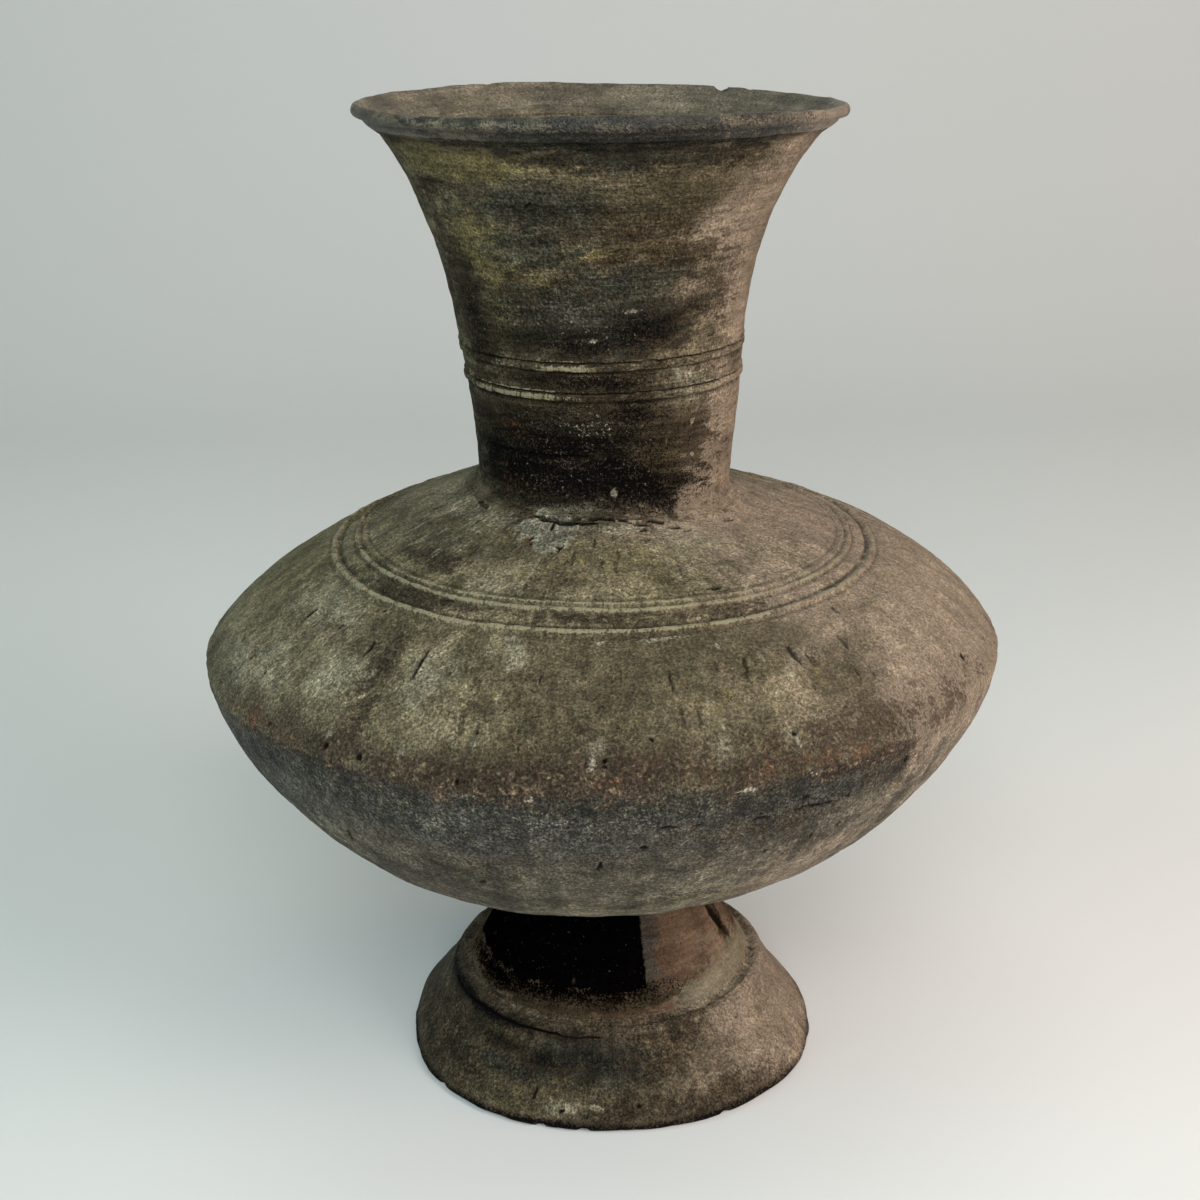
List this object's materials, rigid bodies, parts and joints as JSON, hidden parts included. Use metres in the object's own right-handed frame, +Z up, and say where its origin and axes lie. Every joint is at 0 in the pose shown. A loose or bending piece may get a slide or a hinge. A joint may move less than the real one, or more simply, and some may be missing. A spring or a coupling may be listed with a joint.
{
  "type": "pedestalled bottle",
  "caption": "Flattened round earthenware bottle on a hollow stepped foot, with a trumpet neck, a rolled lip and raised cordons on the neck and shoulder.",
  "frame": {"origin": "middle of the foot's resting edge, on the table", "axes": "+Z up along the axis the bottle is turned about, +X to the right and -Y towards the viewer of the picture"},
  "size_m": [0.2448, 0.2448, 0.2998],
  "materials": {
    "skirt_clay": "worn matt",
    "stem_clay": "smoked satin",
    "bowl_clay": "matt",
    "shoulder_clay": "matt",
    "shoulder_cordon_clay": "worn matt",
    "luting_clay": "matt",
    "neck_clay": "smoked satin",
    "neck_cordon_clay": "worn matt",
    "rim_clay": "burnished"
  },
  "bodies": {
    "root": {"foot_skirt": "skirt_clay", "foot_stem": "stem_clay", "lower_bowl": "bowl_clay", "shoulder": "shoulder_clay", "shoulder_cordon_outer": "shoulder_cordon_clay", "shoulder_cordon_inner": "shoulder_cordon_clay", "neck_luting": "luting_clay", "neck": "neck_clay", "neck_cordon_lower": "neck_cordon_clay", "neck_cordon_upper": "neck_cordon_clay", "rim_coil": "rim_clay"}
  },
  "joints": []
}
